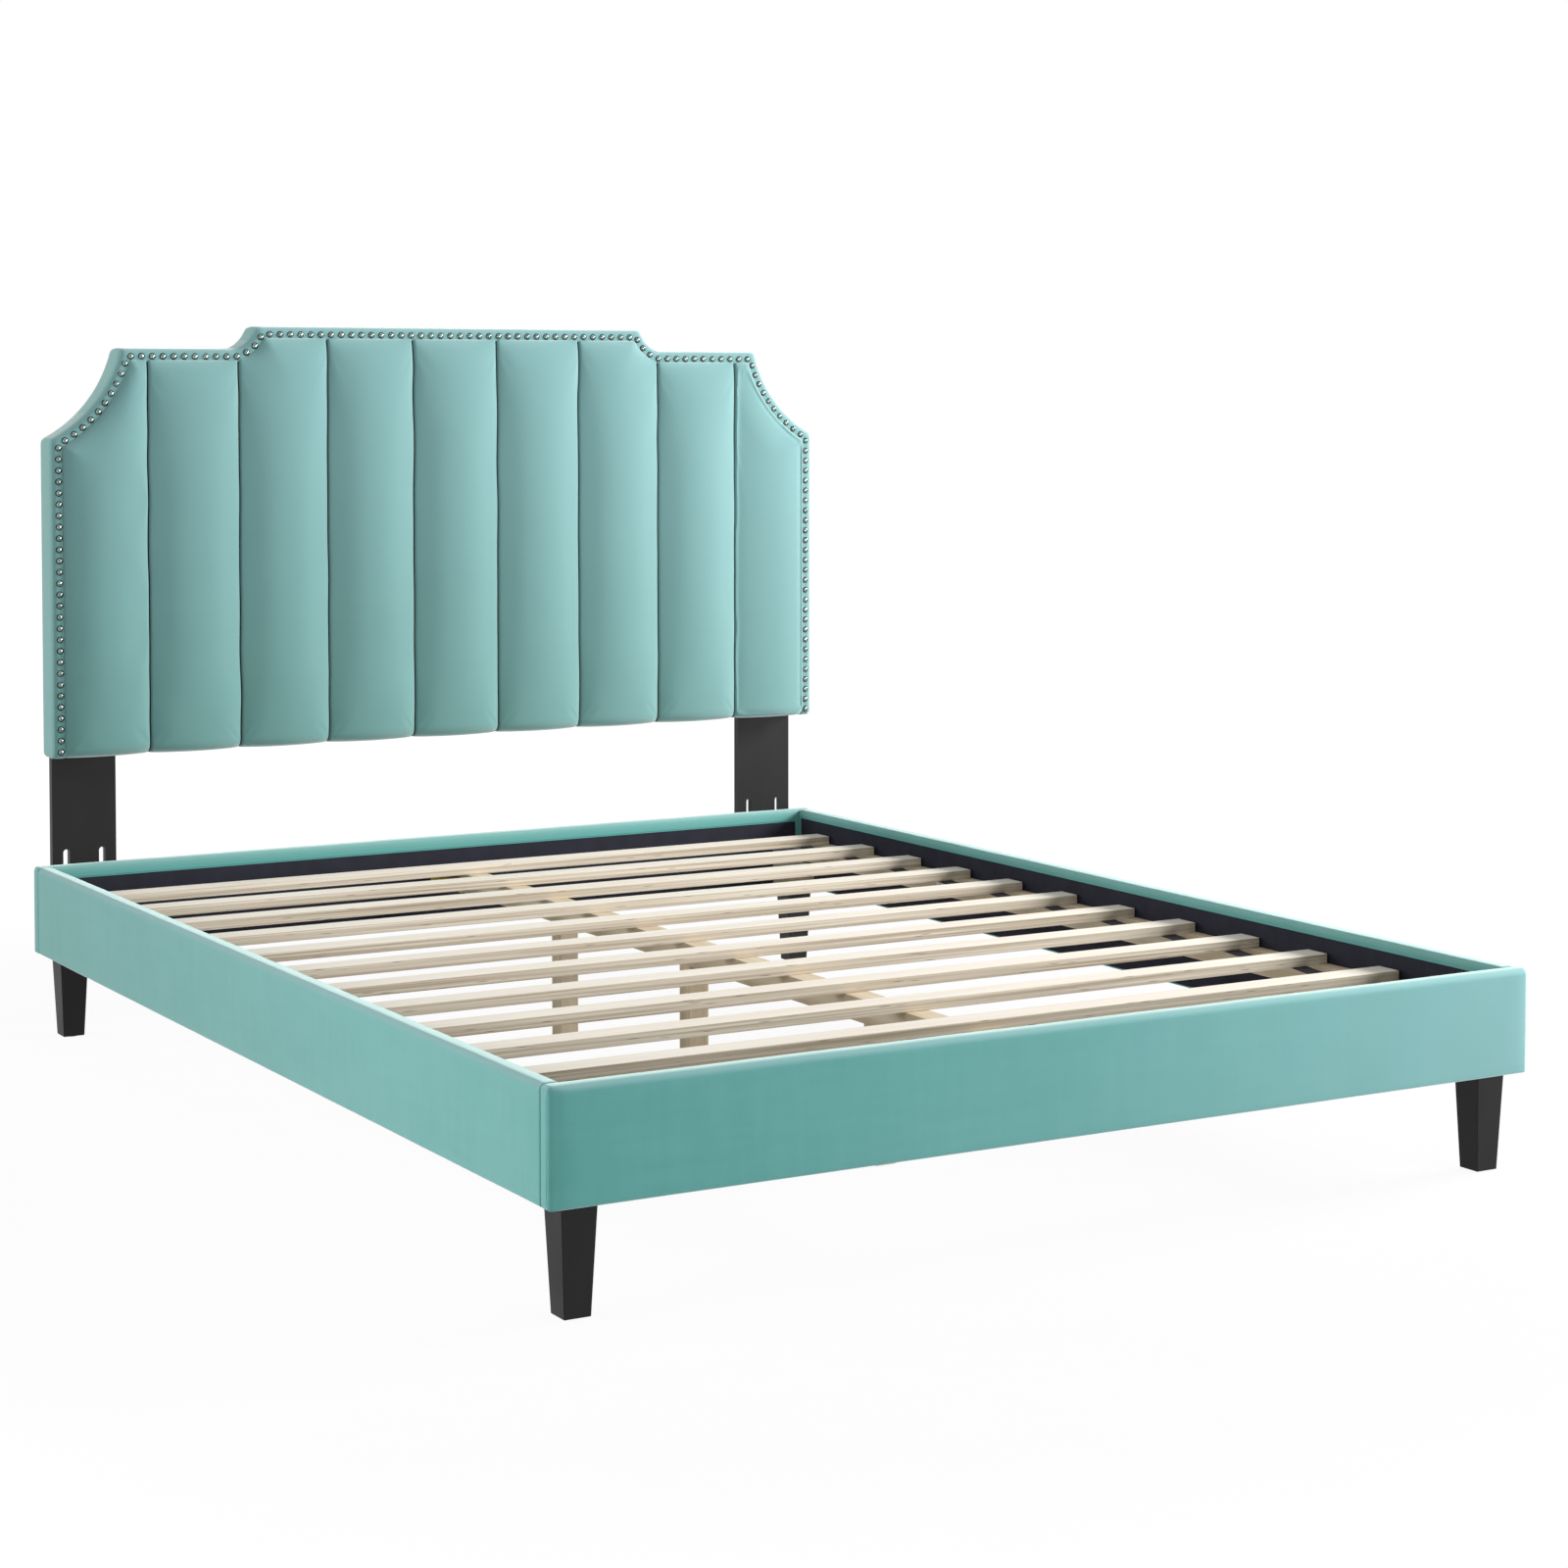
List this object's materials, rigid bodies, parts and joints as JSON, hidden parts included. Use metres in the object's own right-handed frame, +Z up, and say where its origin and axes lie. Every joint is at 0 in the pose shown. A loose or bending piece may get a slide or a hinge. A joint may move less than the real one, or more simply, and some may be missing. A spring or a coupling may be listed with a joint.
{
  "type": "upholstered headboard bed",
  "caption": "Bed with velvet-covered rails on tapered legs, a slatted base on a centre beam, and a channelled headboard with nailhead trim on slotted, height-adjusting struts.",
  "frame": {"origin": "on the floor, under the middle of the bed's overall length and width", "axes": "+Y runs from the foot of the bed to the headboard, +X to the right as seen from the foot, +Z up"},
  "size_m": [1.6, 2.123, 1.267],
  "materials": {
    "velvet": "matte",
    "lining": "matte",
    "webbing": "matte",
    "plywood": "matte",
    "pine": "matte",
    "slat_wood": "matte",
    "black_wood": "satin",
    "zinc": "satin",
    "yellow_zinc": "satin",
    "glide": "matte",
    "nickel": "polished"
  },
  "bodies": {
    "base": {"foot_rail_board": "plywood", "foot_rail_cover": "velvet", "foot_rail_lining": "lining", "head_rail_board": "plywood", "head_rail_cover": "velvet", "head_rail_lining": "lining", "left_rail_board": "plywood", "left_rail_cover": "velvet", "left_rail_lining": "lining", "right_rail_board": "plywood", "right_rail_cover": "velvet", "right_rail_lining": "lining", "left_ledger": "pine", "right_ledger": "pine", "ledger_screws": "zinc", "corner_blocks": "pine", "corner_brackets": "zinc", "corner_bolts": "zinc", "leg_foot_left": "black_wood", "leg_foot_right": "black_wood", "leg_head_left": "black_wood", "leg_head_right": "black_wood", "leg_bolts": "zinc", "glides": "glide", "centre_beam": "pine", "beam_hangers": "yellow_zinc", "post_foot": "pine", "post_middle": "pine", "post_head": "pine", "slat_1": "slat_wood", "slat_2": "slat_wood", "slat_3": "slat_wood", "slat_4": "slat_wood", "slat_5": "slat_wood", "slat_6": "slat_wood", "slat_7": "slat_wood", "slat_8": "slat_wood", "slat_9": "slat_wood", "slat_10": "slat_wood", "slat_11": "slat_wood", "slat_12": "slat_wood", "slat_webbing": "webbing", "strut_clamp_bolts": "zinc"},
    "headboard": {"headboard_panel": "plywood", "headboard_border": "velvet", "headboard_backing": "lining", "channel_1": "velvet", "channel_2": "velvet", "channel_3": "velvet", "channel_4": "velvet", "channel_5": "velvet", "channel_6": "velvet", "channel_7": "velvet", "channel_8": "velvet", "channel_9": "velvet", "nailhead_trim": "nickel", "left_strut": "black_wood", "right_strut": "black_wood", "strut_screws": "zinc"}
  },
  "joints": [
    {"name": "headboard_height", "type": "slide", "parent": "base", "child": "headboard", "axis": [0, 0, 1], "range_m": [-0.098, 0.033]}
  ]
}
